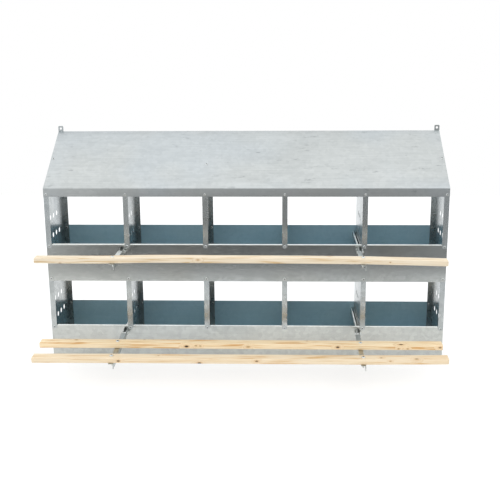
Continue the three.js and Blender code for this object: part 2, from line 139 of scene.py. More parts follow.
# The tints are how much the spangle, streaks and clouds move the tone between dark and light.
def galvanisedSteel(name, light, dark, roughness, spangleTint=0.25, streakTint=0.35, cloudTint=0.9,
                    scuff=0.34, grainAxis="x", metallic=1.0):
    patchTint, streakStretch, cloudStretch = (zincSheet[key] for key in
                                              ("patchTint", "streakStretch", "cloudStretch"))
    material, tree = newMaterial(name)
    place = addNode(tree, "ShaderNodeTexCoord").outputs["Object"]
    streakScale = tuple(streakStretch if axis == grainAxis else 1 for axis in "xyz")
    along = addNode(tree, "ShaderNodeMapping", values={"Scale": streakScale}, links={"Vector": place})
    spangle = addNode(tree, "ShaderNodeTexVoronoi", values={"Scale": 1 / (zincSheet["spangle"] * mm)},
                      links={"Vector": place})
    facet = addNode(tree, "ShaderNodeSeparateColor", links={"Color": spangle.outputs["Color"]})
    streak = addNode(tree, "ShaderNodeTexNoise",
                     values={"Scale": 1 / (zincSheet["streak"] * mm), "Detail": 3, "Roughness": 0.6},
                     links={"Vector": along.outputs[0]})
    drawnScale = tuple(cloudStretch if axis == grainAxis else 1 for axis in "xyz")
    drawn = addNode(tree, "ShaderNodeMapping", values={"Scale": drawnScale}, links={"Vector": place})
    cloud = addNode(tree, "ShaderNodeTexNoise",
                    values={"Scale": 1 / (zincSheet["cloud"] * mm), "Detail": 6, "Roughness": 0.7},
                    links={"Vector": drawn.outputs[0]})
    patch = addNode(tree, "ShaderNodeTexVoronoi", {"distance": "CHEBYCHEV"},
                    {"Scale": 1 / (zincSheet["patch"] * mm), "Randomness": 0.9}, {"Vector": drawn.outputs[0]})
    patchTone = addNode(tree, "ShaderNodeSeparateColor", links={"Color": patch.outputs["Color"]})
    speck = addNode(tree, "ShaderNodeTexNoise",
                    values={"Scale": 1 / (zincSheet["speck"] * mm), "Detail": 6, "Roughness": 0.75},
                    links={"Vector": drawn.outputs[0]})
    patched = addNode(tree, "ShaderNodeMath", {"operation": "MULTIPLY_ADD"},
                      {1: patchTint, 2: 0.5 - (spangleTint + patchTint) / 2}, {0: patchTone.outputs["Blue"]})
    shade = addNode(tree, "ShaderNodeMath", {"operation": "MULTIPLY_ADD"}, {1: spangleTint},
                    {0: facet.outputs["Red"], 2: patched.outputs[0]})
    streaked = addNode(tree, "ShaderNodeMath", {"operation": "MULTIPLY_ADD"}, {1: streakTint},
                       {0: streak.outputs["Fac"], 2: shade.outputs[0]})
    clouded = addNode(tree, "ShaderNodeMath", {"operation": "MULTIPLY_ADD"}, {1: cloudTint},
                      {0: cloud.outputs["Fac"], 2: streaked.outputs[0]})
    middle = 0.5 + streakTint / 2 + cloudTint / 2
    level = addNode(tree, "ShaderNodeMapRange",
                    values={"From Min": middle - zincSheet["darkBelow"],
                            "From Max": middle + zincSheet["lightAbove"]},
                    links={"Value": clouded.outputs[0]})
    skin = addNode(tree, "ShaderNodeMix", {"data_type": "RGBA"},
                   {"A": toLinear(dark), "B": toLinear(light)}, {"Factor": level.outputs[0]})
    marks = addNode(tree, "ShaderNodeMapRange",
                    values={"From Min": scuff, "From Max": scuff - zincSheet["scuffFade"],
                            "To Max": zincSheet["scuffCover"]},
                    links={"Value": speck.outputs["Fac"]})
    marked = addNode(tree, "ShaderNodeMix", {"data_type": "RGBA"}, {"B": toLinear(zincSheet["scuffTone"])},
                     {"Factor": marks.outputs[0], "A": skin.outputs["Result"]})
    drift = addNode(tree, "ShaderNodeTexNoise",
                    values={"Scale": 1 / (zincSheet["drift"] * mm), "Detail": 1}, links={"Vector": place})
    warmth = addNode(tree, "ShaderNodeMapRange", values={"From Min": 0.4, "From Max": 0.6},
                     links={"Value": drift.outputs["Fac"]})
    cast = addNode(tree, "ShaderNodeMix", {"data_type": "RGBA"},
                   {"A": zincSheet["coolCast"], "B": zincSheet["warmCast"]}, {"Factor": warmth.outputs[0]})
    tinted = addNode(tree, "ShaderNodeVectorMath", {"operation": "MULTIPLY"},
                     links={0: marked.outputs["Result"], 1: cast.outputs["Result"]})
    gloss = addNode(tree, "ShaderNodeMapRange",
                    values={"From Min": middle - zincSheet["glossSpan"],
                            "From Max": middle + zincSheet["glossSpan"],
                            "To Min": roughness + zincSheet["duller"],
                            "To Max": roughness - zincSheet["shinier"]},
                    links={"Value": clouded.outputs[0]})
    wave = addNode(tree, "ShaderNodeTexNoise",
                   values={"Scale": 1 / (zincSheet["wave"] * mm), "Detail": 1}, links={"Vector": place})
    relief = addNode(tree, "ShaderNodeMath", {"operation": "MULTIPLY_ADD"}, {1: zincSheet["waveHeight"]},
                     {0: wave.outputs["Fac"], 2: facet.outputs["Green"]})
    bump = addNode(tree, "ShaderNodeBump",
                   values={"Strength": zincSheet["bumpStrength"], "Distance": zincSheet["bumpDepth"] * mm},
                   links={"Height": relief.outputs[0]})
    metal = addNode(tree, "ShaderNodeBsdfPrincipled", values={"Metallic": metallic},
                    links={"Base Color": tinted.outputs[0], "Roughness": gloss.outputs[0],
                           "Normal": bump.outputs[0]})
    finishMaterial(tree, metal.outputs[0])
    return material


# Bright zinc plate on bolts and screws: a smooth, slightly bluish metal dulled in patches, with painted shade
# in
# the drive recess: a near-black colour where the "recess" attribute marks it.
plate = {"patch": 4, "dull": "#c9cdcb", "bright": "#f0f2f0", "dirt": "#17191a", "roughest": 0.42,
         "smoothest": 0.2}


def zincPlate():
    material, tree = newMaterial("zincPlatedFasteners")
    place = addNode(tree, "ShaderNodeTexCoord").outputs["Object"]
    patch = addNode(tree, "ShaderNodeTexNoise", values={"Scale": 1 / (plate["patch"] * mm), "Detail": 4},
                    links={"Vector": place})
    tone = addNode(tree, "ShaderNodeMix", {"data_type": "RGBA"},
                   {"A": toLinear(plate["dull"]), "B": toLinear(plate["bright"])},
                   {"Factor": patch.outputs["Fac"]})
    recess = addNode(tree, "ShaderNodeAttribute", {"attribute_name": "recess"})
    # Painted shade: the drive recess is coloured near-black to stand for the shadow inside it.
    shadedRecess = addNode(tree, "ShaderNodeMix", {"data_type": "RGBA"}, {"B": toLinear(plate["dirt"])},
                    {"Factor": recess.outputs["Fac"], "A": tone.outputs["Result"]})
    gloss = addNode(tree, "ShaderNodeMapRange",
                    values={"To Min": plate["roughest"], "To Max": plate["smoothest"]},
                    links={"Value": patch.outputs["Fac"]})
    metal = addNode(tree, "ShaderNodeBsdfPrincipled", values={"Metallic": 1.0},
                    links={"Base Color": shadedRecess.outputs["Result"], "Roughness": gloss.outputs[0]})
    finishMaterial(tree, metal.outputs[0])
    return material


# Planed pine: cream sapwood with ochre growth lines drawn out along the batten, which bend round a
# few brown knots, fine pores, and a dry surface with a little sheen. Sizes are in millimetres, and the
# growth lines and pores are drawn coarser than real ones, to show. Stretches are along the batten, the
# halo is a knot's reach in knot sizes, and wander is how far the growth lines drift, in metres.
pine = {"drift": 320, "ring": 6.5, "pore": 1.6, "ringStretch": 0.035, "poreStretch": 0.02,
        "knotStretch": 0.55, "halo": 4, "knotPull": -0.25, "knotRing": "#c08f50", "knotCore": "#3a2413",
        "wander": (0.0, 0.02, 0.03),
        "bumpStrength": 0.5, "bumpDepth": 0.15, "roughness": 0.62, "ior": 1.46, "specular": 0.35}


# Knots are (x, y, z, size, darkness) in metres. Each has a dark core inside a ring of tinted wood,
# and near it the pattern is stretched, so that the growth lines bend round it.
def planedPine(name, light, dark, line, knots, seed):
    material, tree = newMaterial(name)
    place = addNode(tree, "ShaderNodeTexCoord").outputs["Object"]
    shifted = addNode(tree, "ShaderNodeMapping", values={"Location": (seed, seed * 0.37, seed * 0.71)},
                      links={"Vector": place})
    drift = addNode(tree, "ShaderNodeTexNoise", values={"Scale": 1 / (pine["drift"] * mm), "Detail": 2},
                    links={"Vector": shifted.outputs[0]})
    bend = addNode(tree, "ShaderNodeVectorMath", {"operation": "MULTIPLY_ADD"},
                   {1: pine["wander"]}, {0: drift.outputs["Color"], 2: shifted.outputs[0]})
    nearKnots = None
    knotCores = None
    for x, y, z, size, depth in knots:
        offset = addNode(tree, "ShaderNodeVectorMath", {"operation": "SUBTRACT"}, {1: (x, y, z)}, {0: place})
        squeezed = addNode(tree, "ShaderNodeVectorMath", {"operation": "MULTIPLY"},
                           {1: (pine["knotStretch"], 1, 1)}, {0: offset.outputs[0]})
        distance = addNode(tree, "ShaderNodeVectorMath", {"operation": "LENGTH"},
                           links={0: squeezed.outputs[0]})
        halo = addNode(tree, "ShaderNodeMapRange", {"interpolation_type": "SMOOTHSTEP"},
                       {"From Min": size * pine["halo"], "From Max": 0.0, "To Max": 1.0},
                       {"Value": distance.outputs["Value"]})
        core = addNode(tree, "ShaderNodeMapRange", {"interpolation_type": "SMOOTHSTEP"},
                       {"From Min": size * 1.2, "From Max": size * 0.6, "To Max": depth},
                       {"Value": distance.outputs["Value"]})
        if nearKnots is None:
            nearKnots, knotCores = halo.outputs[0], core.outputs[0]
        else:
            nearKnots = addNode(tree, "ShaderNodeMath", {"operation": "MAXIMUM"},
                                links={0: nearKnots, 1: halo.outputs[0]}).outputs[0]
            knotCores = addNode(tree, "ShaderNodeMath", {"operation": "MAXIMUM"},
                                links={0: knotCores, 1: core.outputs[0]}).outputs[0]
    grow = addNode(tree, "ShaderNodeMath", {"operation": "MULTIPLY_ADD"}, {1: pine["knotPull"], 2: 1.0},
                   {0: nearKnots})
    swell = addNode(tree, "ShaderNodeVectorMath", {"operation": "SCALE"},
                    links={0: bend.outputs[0], "Scale": grow.outputs[0]})
    drawn = addNode(tree, "ShaderNodeMapping", values={"Scale": (pine["ringStretch"], 1, 1)},
                    links={"Vector": swell.outputs[0]})
    rings = addNode(tree, "ShaderNodeTexNoise",
                    values={"Scale": 1 / (pine["ring"] * mm), "Detail": 3, "Roughness": 0.5},
                    links={"Vector": drawn.outputs[0]})
    growth = addNode(tree, "ShaderNodeMapRange", {"interpolation_type": "SMOOTHSTEP"},
                     {"From Min": 0.38, "From Max": 0.68}, {"Value": rings.outputs["Fac"]})
    fibre = addNode(tree, "ShaderNodeMapping", values={"Scale": (pine["poreStretch"], 1, 1)},
                    links={"Vector": place})
    pores = addNode(tree, "ShaderNodeTexNoise", values={"Scale": 1 / (pine["pore"] * mm), "Detail": 3},
                    links={"Vector": fibre.outputs[0]})
    sapwood = addNode(tree, "ShaderNodeMix", {"data_type": "RGBA"},
                      {"A": toLinear(light), "B": toLinear(dark)}, {"Factor": growth.outputs[0]})
    late = addNode(tree, "ShaderNodeMapRange", {"interpolation_type": "SMOOTHSTEP"},
                   {"From Min": 0.56, "From Max": 0.66, "To Max": 0.8}, {"Value": rings.outputs["Fac"]})
    lined = addNode(tree, "ShaderNodeMix", {"data_type": "RGBA"}, {"B": toLinear(line)},
                    {"Factor": late.outputs[0], "A": sapwood.outputs["Result"]})
    ring = addNode(tree, "ShaderNodeMapRange", values={"From Min": 0.45, "From Max": 0.9, "To Max": 0.5},
                   links={"Value": nearKnots})
    ringed = addNode(tree, "ShaderNodeMix", {"data_type": "RGBA"}, {"B": toLinear(pine["knotRing"])},
                     {"Factor": ring.outputs[0], "A": lined.outputs["Result"]})
    knotted = addNode(tree, "ShaderNodeMix", {"data_type": "RGBA"}, {"B": toLinear(pine["knotCore"])},
                      {"Factor": knotCores, "A": ringed.outputs["Result"]})
    fine = addNode(tree, "ShaderNodeMapRange",
                   values={"From Min": 0.3, "From Max": 0.7, "To Min": 0.9, "To Max": 1.04},
                   links={"Value": pores.outputs["Fac"]})
    wood = addNode(tree, "ShaderNodeVectorMath", {"operation": "SCALE"},
                   links={0: knotted.outputs["Result"], "Scale": fine.outputs[0]})
    bump = addNode(tree, "ShaderNodeBump",
                   values={"Strength": pine["bumpStrength"], "Distance": pine["bumpDepth"] * mm},
                   links={"Height": pores.outputs["Fac"]})
    surface = addNode(tree, "ShaderNodeBsdfPrincipled",
                      values={"Roughness": pine["roughness"], "IOR": pine["ior"],
                              "Specular IOR Level": pine["specular"]},
                      links={"Base Color": wood.outputs[0], "Normal": bump.outputs[0]})
    finishMaterial(tree, surface.outputs[0])
    return material


# Light tone, dark tone and roughness of each sheet: the roof is scuffed and dull, and the front panels are
# the shiniest.
# The inner skins of the nests are painted shade: a cool blue, part-matt copy of the zinc, which mirrors
# little, stands for the bluish shade inside the nests.
roofZinc = galvanisedSteel("galvanisedRoofSheet", "#bcbfbf", "#919596", 0.34, spangleTint=0.14,
                           streakTint=0.5, cloudTint=0.45, scuff=0.4)
panelZinc = galvanisedSteel("galvanisedFrontSheet", "#cbcdca", "#9da09d", 0.18)
wallZinc = galvanisedSteel("galvanisedWallSheet", "#c5c9c9", "#989d9e", 0.27, spangleTint=0.35,
                           grainAxis="z")
# Painted shade: this blue tint and low metallic stand for the bluish shade inside the nests, not for a
# different sheet.
paintedShadeInnerZinc = galvanisedSteel("galvanisedInnerSheetPaintedShade", "#bedde9", "#a1c6d4", 0.34, metallic=0.3)
armZinc = galvanisedSteel("galvanisedAngle", "#cfd2d0", "#a5a8a6", 0.32, grainAxis="y")
boltZinc = zincPlate()
print("materials made")


# Makes a piece from vertices and faces, smooth up to an angle in degrees. Tidy merges the points that
# meet; marks, one per vertex, become the "recess" attribute.
def addPiece(name, vertices, faces, material, body, replaced=(), smoothAngle=40, tidy=False,
             marks=None):
    mesh = bpy.data.meshes.new(name)
    mesh.from_pydata(np.asarray(vertices).tolist(), [], faces)
    if marks is not None:
        mesh.attributes.new("recess", "FLOAT", "POINT").data.foreach_set("value", marks.astype(np.float32))
    if tidy:
        work = bmesh.new()
        work.from_mesh(mesh)
        bmesh.ops.remove_doubles(work, verts=work.verts, dist=1e-6)
        bmesh.ops.dissolve_degenerate(work, dist=1e-7, edges=work.edges)
        work.to_mesh(mesh)
        work.free()
    mesh.materials.append(material)
    mesh.shade_smooth()
    mesh.set_sharp_from_angle(angle=math.radians(smoothAngle))
    piece = bpy.data.objects.new(name, mesh)
    scene.collection.objects.link(piece)
    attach(piece, body)
    if replaced:
        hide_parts(*replaced)
    return piece


# Quads between successive closed rings: station i, point j joins i + 1 and j + 1.
def ringFaces(stations, points):
    i, j = np.meshgrid(np.arange(stations - 1), np.arange(points), indexing="ij")
    nextJ = (j + 1) % points
    quads = np.stack([i * points + j, i * points + nextJ, (i + 1) * points + nextJ, (i + 1) * points + j], -1)
    return quads.reshape(-1, 4).tolist()


# Closes a thin ring whose second half runs back along its first half.
def stripCap(points, first, flip):
    half = points // 2
    i = np.arange(half - 1)
    quads = np.stack([i, i + 1, points - 2 - i, points - 1 - i], -1) + first
    return (quads[:, ::-1] if flip else quads).tolist()


# Both ends of a bent sheet.
def endCaps(stations, points):
    return stripCap(points, 0, True) + stripCap(points, (stations - 1) * points, False)


# A folded line with its corners turned into arcs and its legs divided, and the left normal at each
# point. A corner of turn t starts and ends the radius times the tangent of t / 2 from the fold.
def roundedLine(points, radius, step, arcSteps=5):
    points = np.asarray(points, float)
    legs = np.diff(points, axis=0)
    lengths = np.linalg.norm(legs, axis=1)
    ways = legs / lengths[:, None]
    path, normals = [], []
    start = points[0]
    radii = np.broadcast_to(radius, len(points) - 1)
    for k, way in enumerate(ways):
        left = np.array([-way[1], way[0]])
        turn = 0.0
        if k + 1 < len(ways):
            turn = math.atan2(way[0] * ways[k + 1][1] - way[1] * ways[k + 1][0], float(way @ ways[k + 1]))
        cut = radii[k] * math.tan(abs(turn) / 2)
        end = points[k + 1] - way * cut
        count = max(1, int(np.linalg.norm(end - start) / step))
        along = np.linspace(0, 1, count + 1)[:, None]
        isStraight = abs(turn) < 1e-6 and k + 1 < len(ways)
        path.append((start + (end - start) * along)[:count if isStraight else count + 1])
        normals.append(np.repeat(left[None], len(path[-1]), 0))
        if isStraight:
            start = end
        elif k + 1 < len(ways):
            centre = end + left * radii[k] * np.sign(turn)
            angles = np.linspace(0, turn, arcSteps + 2)[1:-1]
            cosine, sine = np.cos(angles), np.sin(angles)
            spun = lambda v: np.stack([v[0] * cosine - v[1] * sine, v[0] * sine + v[1] * cosine], -1)
            path.append(centre + spun(end - centre))
            normals.append(spun(left))
            start = points[k + 1] + ways[k + 1] * cut
    return np.concatenate(path), np.concatenate(normals)


# Rings of a bent sheet: the line and its offset, at each value along the third axis. Wave moves both
# faces along the normal by wave(distance along the line, place along the third axis).
def sheetRings(line, radius, thickness, spans, step, wave=None):
    path, normals = roundedLine(line, radius, step)
    run = np.concatenate([[0], np.cumsum(np.linalg.norm(np.diff(path, axis=0), axis=1))])
    along = np.asarray(spans)[:, None]
    shift = wave(run[None, :], along) if wave else np.zeros((len(spans), len(run)))
    outer = path[None] + normals[None] * shift[..., None]
    inner = outer + normals[None] * thickness
    section = np.concatenate([outer, inner[:, ::-1]], axis=1)
    return section, along


# Drops the quads of both skins inside each slot (x0, x1, z0, z1), and walls the slot round.
def cutSlots(faces, section, stations, slots):
    count = section.shape[1]
    half = count // 2
    keep = np.ones(len(faces), bool)
    rims = []
    for x0, x1, z0, z1 in slots:
        i0, i1 = (int(np.argmin(abs(stations - x))) for x in (x0, x1))
        depths, heights = section[0, :half].T
        isOffFace = abs(depths - depths[-1]) > hair
        ends = [int(np.argmin(abs(heights - z) + isOffFace)) for z in (z0, z1)]
        j0, j1 = min(ends), max(ends)
        i, j = np.meshgrid(np.arange(i0, i1), np.arange(j0, j1), indexing="ij")
        keep[(i * count + j).ravel()] = False
        keep[(i * count + count - 2 - j).ravel()] = False
        outer = lambda a, b: a * count + b
        inner = lambda a, b: a * count + count - 1 - b
        i, j = np.arange(i0, i1), np.arange(j0, j1)
        rims += [np.stack([outer(i, j0), outer(i + 1, j0), inner(i + 1, j0), inner(i, j0)], -1),
                 np.stack([outer(i + 1, j1), outer(i, j1), inner(i, j1), inner(i + 1, j1)], -1),
                 np.stack([outer(i0, j + 1), outer(i0, j), inner(i0, j), inner(i0, j + 1)], -1),
                 np.stack([outer(i1, j), outer(i1, j + 1), inner(i1, j + 1), inner(i1, j)], -1)]
    return np.concatenate([np.array(faces)[keep]] + rims).tolist()


sheetMetal = {"thickness": 1.0 * mm, "bend": 1.6 * mm, "step": 35 * mm}


# A bent sheet in place of a node: its line lies in y and z, and is carried along x from one end of the
# node to the other. The skin on the line's left may have a material of its own.
def sheetAlongX(name, node, line, material, radius=sheetMetal["bend"], step=sheetMetal["step"], wave=None,
                slots=(), innerMaterial=None):
    low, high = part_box(node)
    stations = np.linspace(low.x, high.x, max(2, int((high.x - low.x) / step) + 1))
    stations = np.unique(np.concatenate([stations] + [slot[:2] for slot in slots]))
    section, along = sheetRings(line, radius, sheetMetal["thickness"], stations, step, wave)
    count = section.shape[1]
    vertices = np.concatenate([np.broadcast_to(along[..., None], section.shape[:2] + (1,)), section], -1)
    faces = ringFaces(len(stations), count)
    if slots:
        faces = cutSlots(faces, section, stations, slots)
    place = np.arange(len(faces)) % count
    isInner = (place >= count // 2) & (place < count - 1)
    faces += endCaps(len(stations), count)
    faces = [face[::-1] for face in faces]
    piece = addPiece(name, vertices.reshape(-1, 3), faces, material, "cabinet", [node])
    if innerMaterial:
        piece.data.materials.append(innerMaterial)
        skins = np.zeros(len(faces), np.int32)
        skins[:len(isInner)] = isInner
        piece.data.polygons.foreach_set("material_index", skins)
    return piece


roof = {"rise": 186 * mm, "turnDown": 25 * mm, "ridgeBend": 1.4 * mm, "eaveBend": 1.2 * mm, "step": 30 * mm,
        "buckle": 0.5 * mm, "buckleFrom": 30 * mm}
# Each sine's radians per metre along x, radians per metre down the line, and phase.
ripples = [(7.1, 9.0, 0), (3.3, -14.0, 1.3), (17.0, 0, 0.7)]


# A slow ripple of the sheet, always inwards: half of 1 + the mean of three long sines, growing from
# nothing by a quarter sine, whose angle is the way down the line over buckleFrom.
def buckle(run, along):
    sines = sum(np.sin(along * perAlong + run * perRun + phase) for perAlong, perRun, phase in ripples)
    growth = np.sin(np.clip(run / roof["buckleFrom"], 0, math.pi / 2))
    return roof["buckle"] * (1 + sines / len(ripples)) / 2 * growth


def makeRoof():
    low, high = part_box("roof_panel")
    line = [(high.y, high.z - roof["turnDown"]), (high.y, high.z), (low.y, high.z - roof["rise"]),
            (low.y, low.z)]
    bends = (roof["ridgeBend"], roof["eaveBend"], 0)
    sheetAlongX("roofSheet", "roof_panel", line, roofZinc, bends, roof["step"], buckle)


# The lip leans back over the nest, so that it catches the light from above. The rails' noses come
# through slots in the panel.
frontPanel = {"lipHeight": 3.2 * mm, "lipLean": 3.2 * mm, "lipBelow": 1.7 * mm, "slotGap": 0.4 * mm}


def makeFrontPanel(row):
    node = f"{row}_front_panel"
    low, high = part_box(node)
    gap = frontPanel["slotGap"]
    slots = []
    for side in sides:
        railLow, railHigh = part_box(f"{row}_{side}_rail")
        slots.append((railLow.x - gap, railHigh.x + gap, railLow.z - gap, railHigh.z + gap))
    top = high.z - frontPanel["lipBelow"]
    line = [(low.y + frontPanel["lipLean"], top), (low.y, top - frontPanel["lipHeight"]),
            (low.y, slots[0][3]), (low.y, slots[0][2]), (low.y, low.z)]
    sheetAlongX(camelName(node), node, line, panelZinc, slots=slots)


# Folded up in front and behind.
def makeFloor(row):
    node = f"{row}_nest_floor"
    low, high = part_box(node)
    line = [(low.y, high.z), (low.y, low.z), (high.y, low.z), (high.y, high.z)]
    # The floor's inner skin gets the painted blue shade of the nests' insides.
    sheetAlongX(camelName(node), node, line, panelZinc, innerMaterial=paintedShadeInnerZinc)


def makeBackStrip(row):
    node = f"{row}_back_strip"
    low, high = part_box(node)
    # The back strip's inner skin gets the painted blue shade of the nests' insides.
    sheetAlongX(camelName(node), node, [(high.y, low.z), (high.y, high.z)], panelZinc,
                innerMaterial=paintedShadeInnerZinc)


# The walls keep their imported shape, and get a small round on every sheared edge.
wallEdge = {"weld": 0.01 * mm, "width": 0.3 * mm, "segments": 2, "angle": 40}


def finishWalls():
    for row in rows:
        for name in wallNames:
            wall = frame["nodes"][f"{row}_{name}"]
            wall.data.materials.clear()
            wall.data.materials.append(wallZinc)
            weld = wall.modifiers.new("weld", "WELD")
            weld.merge_threshold = wallEdge["weld"]
            edge = wall.modifiers.new("edge", "BEVEL")
            edge.width = wallEdge["width"]
            edge.segments = wallEdge["segments"]
            edge.limit_method = "ANGLE"
            edge.angle_limit = math.radians(wallEdge["angle"])


makeRoof()
for row in rows:
    makeFrontPanel(row)
    makeFloor(row)
    makeBackStrip(row)
finishWalls()
print("sheet metal made")


# How far the arms of each row hang below level.
droop = {"lower": math.radians(4.7), "upper": math.radians(1.8)}
perchRows = {"upper_perch": "upper", "inner_lower_perch": "lower", "outer_lower_perch": "lower"}


# Points in an arm's own frame, x across, y back and z up from the pivot, turned by the droop.
def tilted(points, row, pivot=None):
    pivot = joints[f"{row}_perch_frame"]["pos_m"] if pivot is None else pivot
    angle = droop[row]
    x, y, z = points[..., 0], points[..., 1], points[..., 2]
    turnedY = y * math.cos(angle) - z * math.sin(angle) + pivot[1]
    turnedZ = y * math.sin(angle) + z * math.cos(angle) + pivot[2]
    return np.stack([x, turnedY, turnedZ], -1)


# The vertices and faces of a sheet whose section, in x and z, is carried along y.
def sweptAlongY(section, along):
    stations, count = section.shape[:2]
    depth = np.broadcast_to(along[..., None], (stations, count, 1))
    vertices = np.concatenate([section[..., :1], depth, section[..., 1:]], -1)
    return vertices, ringFaces(stations, count) + endCaps(stations, count)


# The lips stop short of the panel, so the nose is a plain channel, cut down by a curve towards its tip.
rail = {"sheet": 1.2 * mm, "bend": 1.9 * mm, "leftLip": 5.5 * mm, "rightLip": 3 * mm, "noseCut": 6 * mm,
        "noseRun": 10 * mm, "noseCurve": 1.5, "lipBehind": 2.6 * mm, "step": 20 * mm}


def makeRail(row, side):
    low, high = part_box(f"{row}_{side}_rail")
    line = [(low.x + rail["leftLip"], high.z), (low.x, high.z), (low.x, low.z), (high.x, low.z),
            (high.x, high.z), (high.x - rail["rightLip"], high.z)]
    run, sheet, step = rail["noseRun"], rail["sheet"], rail["step"]
    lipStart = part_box(f"{row}_front_panel")[0].y + rail["lipBehind"]
    stations = np.concatenate([low.y + np.linspace(0, run, 7), [lipStart - hair, lipStart + hair],
                               np.linspace(lipStart + step, high.y, 12)])
    section, along = sheetRings(line, rail["bend"], sheet, stations, step)
    isNose = (along < lipStart) & (section[..., 1] > high.z - 2 * rail["bend"])
    isLeft = section[..., 0] < (low.x + high.x) / 2
    x = section[..., 0]
    x = np.where(isNose & isLeft, np.minimum(x, low.x + sheet), x)
    section[..., 0] = np.where(isNose & ~isLeft, np.maximum(x, high.x - sheet), x)
    cut = rail["noseCut"] * np.clip(1 - (along - low.y) / run, 0, 1) ** rail["noseCurve"]
    section[..., 1] = np.minimum(section[..., 1], high.z - cut)
    vertices, faces = sweptAlongY(section, along)
    addPiece(f"{row}{side.title()}Rail", vertices.reshape(-1, 3), faces, armZinc, "cabinet",
             [f"{row}_{side}_rail"], tidy=True)


arm = {"height": 22 * mm, "ear": 7 * mm, "cut": 3 * mm, "sheet": 2 * mm, "topStart": 20 * mm,
       "corner": 2.4 * mm, "neckFrom": 13 * mm, "neckTo": 19 * mm, "step": 20 * mm, "endStep": 10 * mm}


# An L section carried along the arm. The top leg folds into the upright one behind its start. The
# upright leg's height follows its outline: full below the perches, then narrowing from neckTo to
# neckFrom into an ear, whose end is a half circle about the pivot.
def makeArm(row, side):
    node = f"{row}_{side}_arm"
    low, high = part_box(node)
    pivot = joints[f"{row}_perch_frame"]["pos_m"]
    ear, foot = arm["ear"], arm["ear"] - arm["height"]
    angle = droop[row]
    length = (pivot[1] - low.y - ear * math.sin(angle)) / math.cos(angle)
    line = [(high.x, foot), (high.x, ear), (low.x, ear)]
    start, cut, end = arm["topStart"], arm["cut"], arm["endStep"]
    neckFrom, neckTo = arm["neckFrom"], arm["neckTo"]
    earTurn = np.linspace(0.05, math.pi / 2, 9)
    stations = np.concatenate([ear * np.cos(earTurn), [-6 * mm], -np.linspace(neckFrom, neckTo, 3),
                               [-start, -start - hair], np.linspace(-start - end, -length + end, 12),
                               -length + cut * np.linspace(1, 0, 4)])
    section, along = sheetRings(line, arm["corner"], arm["sheet"], stations, arm["step"])
    isBehind = along > -start - hair / 2
    section[..., 0] = np.where(isBehind, np.maximum(section[..., 0], high.x - arm["sheet"]), section[..., 0])
    bottom = np.interp(-along, [neckFrom, neckTo, length - cut, length], [-ear, foot, foot, foot + cut])
    circle = np.sqrt(np.clip(ear ** 2 - np.maximum(along, 0) ** 2, 0, None))
    top = np.where(along > 0, circle, ear)
    bottom = np.where(along > 0, -circle, bottom)
    isLeg = section[..., 1] < ear - arm["corner"]
    outlined = bottom + (section[..., 1] - foot) / (ear - foot) * (top - bottom)
    section[..., 1] = np.where(isLeg | isBehind, outlined, section[..., 1])
    vertices, faces = sweptAlongY(section, along)
    addPiece(f"{row}{side.title()}Arm", tilted(vertices, row).reshape(-1, 3), faces, armZinc,
             f"{row}_perch_frame", [node], tidy=True)


# Knots as x in metres, y and z from the batten's middle in millimetres, size and darkness.
knots = {
    "upper_perch": [(-0.6575, -20, -10, 2.5, 0.6), (-0.174, -20, -10, 2.6, 0.9), (0.523, -20, -3, 1.5, 0.5),
                    (-0.16, -20, 4, 3, 0.25), (0.31, 10, 10, 3, 0.2)],
    "inner_lower_perch": [(-0.628, 10, 10, 3.5, 0.5), (-0.373, 16, 10, 2.2, 0.8), (-0.212, -20, -2, 4.2, 1),
                          (-0.177, -20, 1, 2.4, 0.45), (-0.161, -20, 0, 2.2, 0.4), (0.016, -20, -2, 3.2, 0.3),
                          (0.233, 12, 10, 2.2, 0.7), (0.345, -20, -1, 3.6, 1), (0.576, -14, 10, 4.4, 1),
                          (0.567, -20, -6, 2.2, 0.5), (0.6, -20, -6, 2.2, 0.5), (0.7175, -20, 0, 3, 0.7)],
    "outer_lower_perch": [(-0.443, -20, -3, 3.2, 0.8), (-0.302, 4, 10, 2, 0.4), (-0.153, -20, -9.5, 4, 1),
                          (0.051, -20, 0, 3, 0.75), (0.492, -4, 10, 2.6, 0.7), (0.523, -20, 4, 2, 0.3),
                          (0.615, -14, 10, 3.6, 0.85)],
}
# Sapwood light and dark, and growth lines.
pineTones = {
    "upper_perch": ("#e2d4bd", "#d8c5a7", "#c5a475"),
    "inner_lower_perch": ("#ecd8b6", "#e1c497", "#c48b4a"),
    "outer_lower_perch": ("#e4d2b5", "#dac09a", "#c3965e"),
}
# How far each batten has warped down at places along x, both in millimetres; the bolts hold it at the
# arms.
warps = {
    "upper_perch": [(-753, 0.9), (-516, 1.3), (-460, 0), (-338, -2.8), (-231, -2.7), (-88, -2.0), (197, -1.6),
                    (339, -0.6), (440, 0), (553, 2.6), (624, 3.8), (728, 6.9)],
    "inner_lower_perch": [(-761, 0.4), (-460, 0), (440, 0), (728, -0.5)],
    "outer_lower_perch": [(-757, 1.6), (-460, 0), (440, 0), (728, -3.2)],
}


warpWindow = 35 * mm  # half the width of the smoothing


# The warp at each station, with its corners smoothed by a cosine window.
def warpOf(name, stations):
    places, drops = np.array(warps[name]).T * mm
    offsets = np.linspace(-warpWindow, warpWindow, 15)
    weights = 1 + np.cos(offsets / warpWindow * math.pi)
    return np.interp(stations[:, None] + offsets, places, drops) @ weights / weights.sum()


batten = {"depth": 40 * mm, "height": 20 * mm, "edge": 2.2 * mm, "stations": 160, "points": 32,
          "bow": 0.3 * mm, "bowAcross": 3.1, "bowUp": 2.3, "slack": 0.98, "endRound": 1.5 * mm,
          "endInset": 1.2 * mm, "endStep": 10 * mm, "firstSeed": 1.7, "seedStep": 2.3}


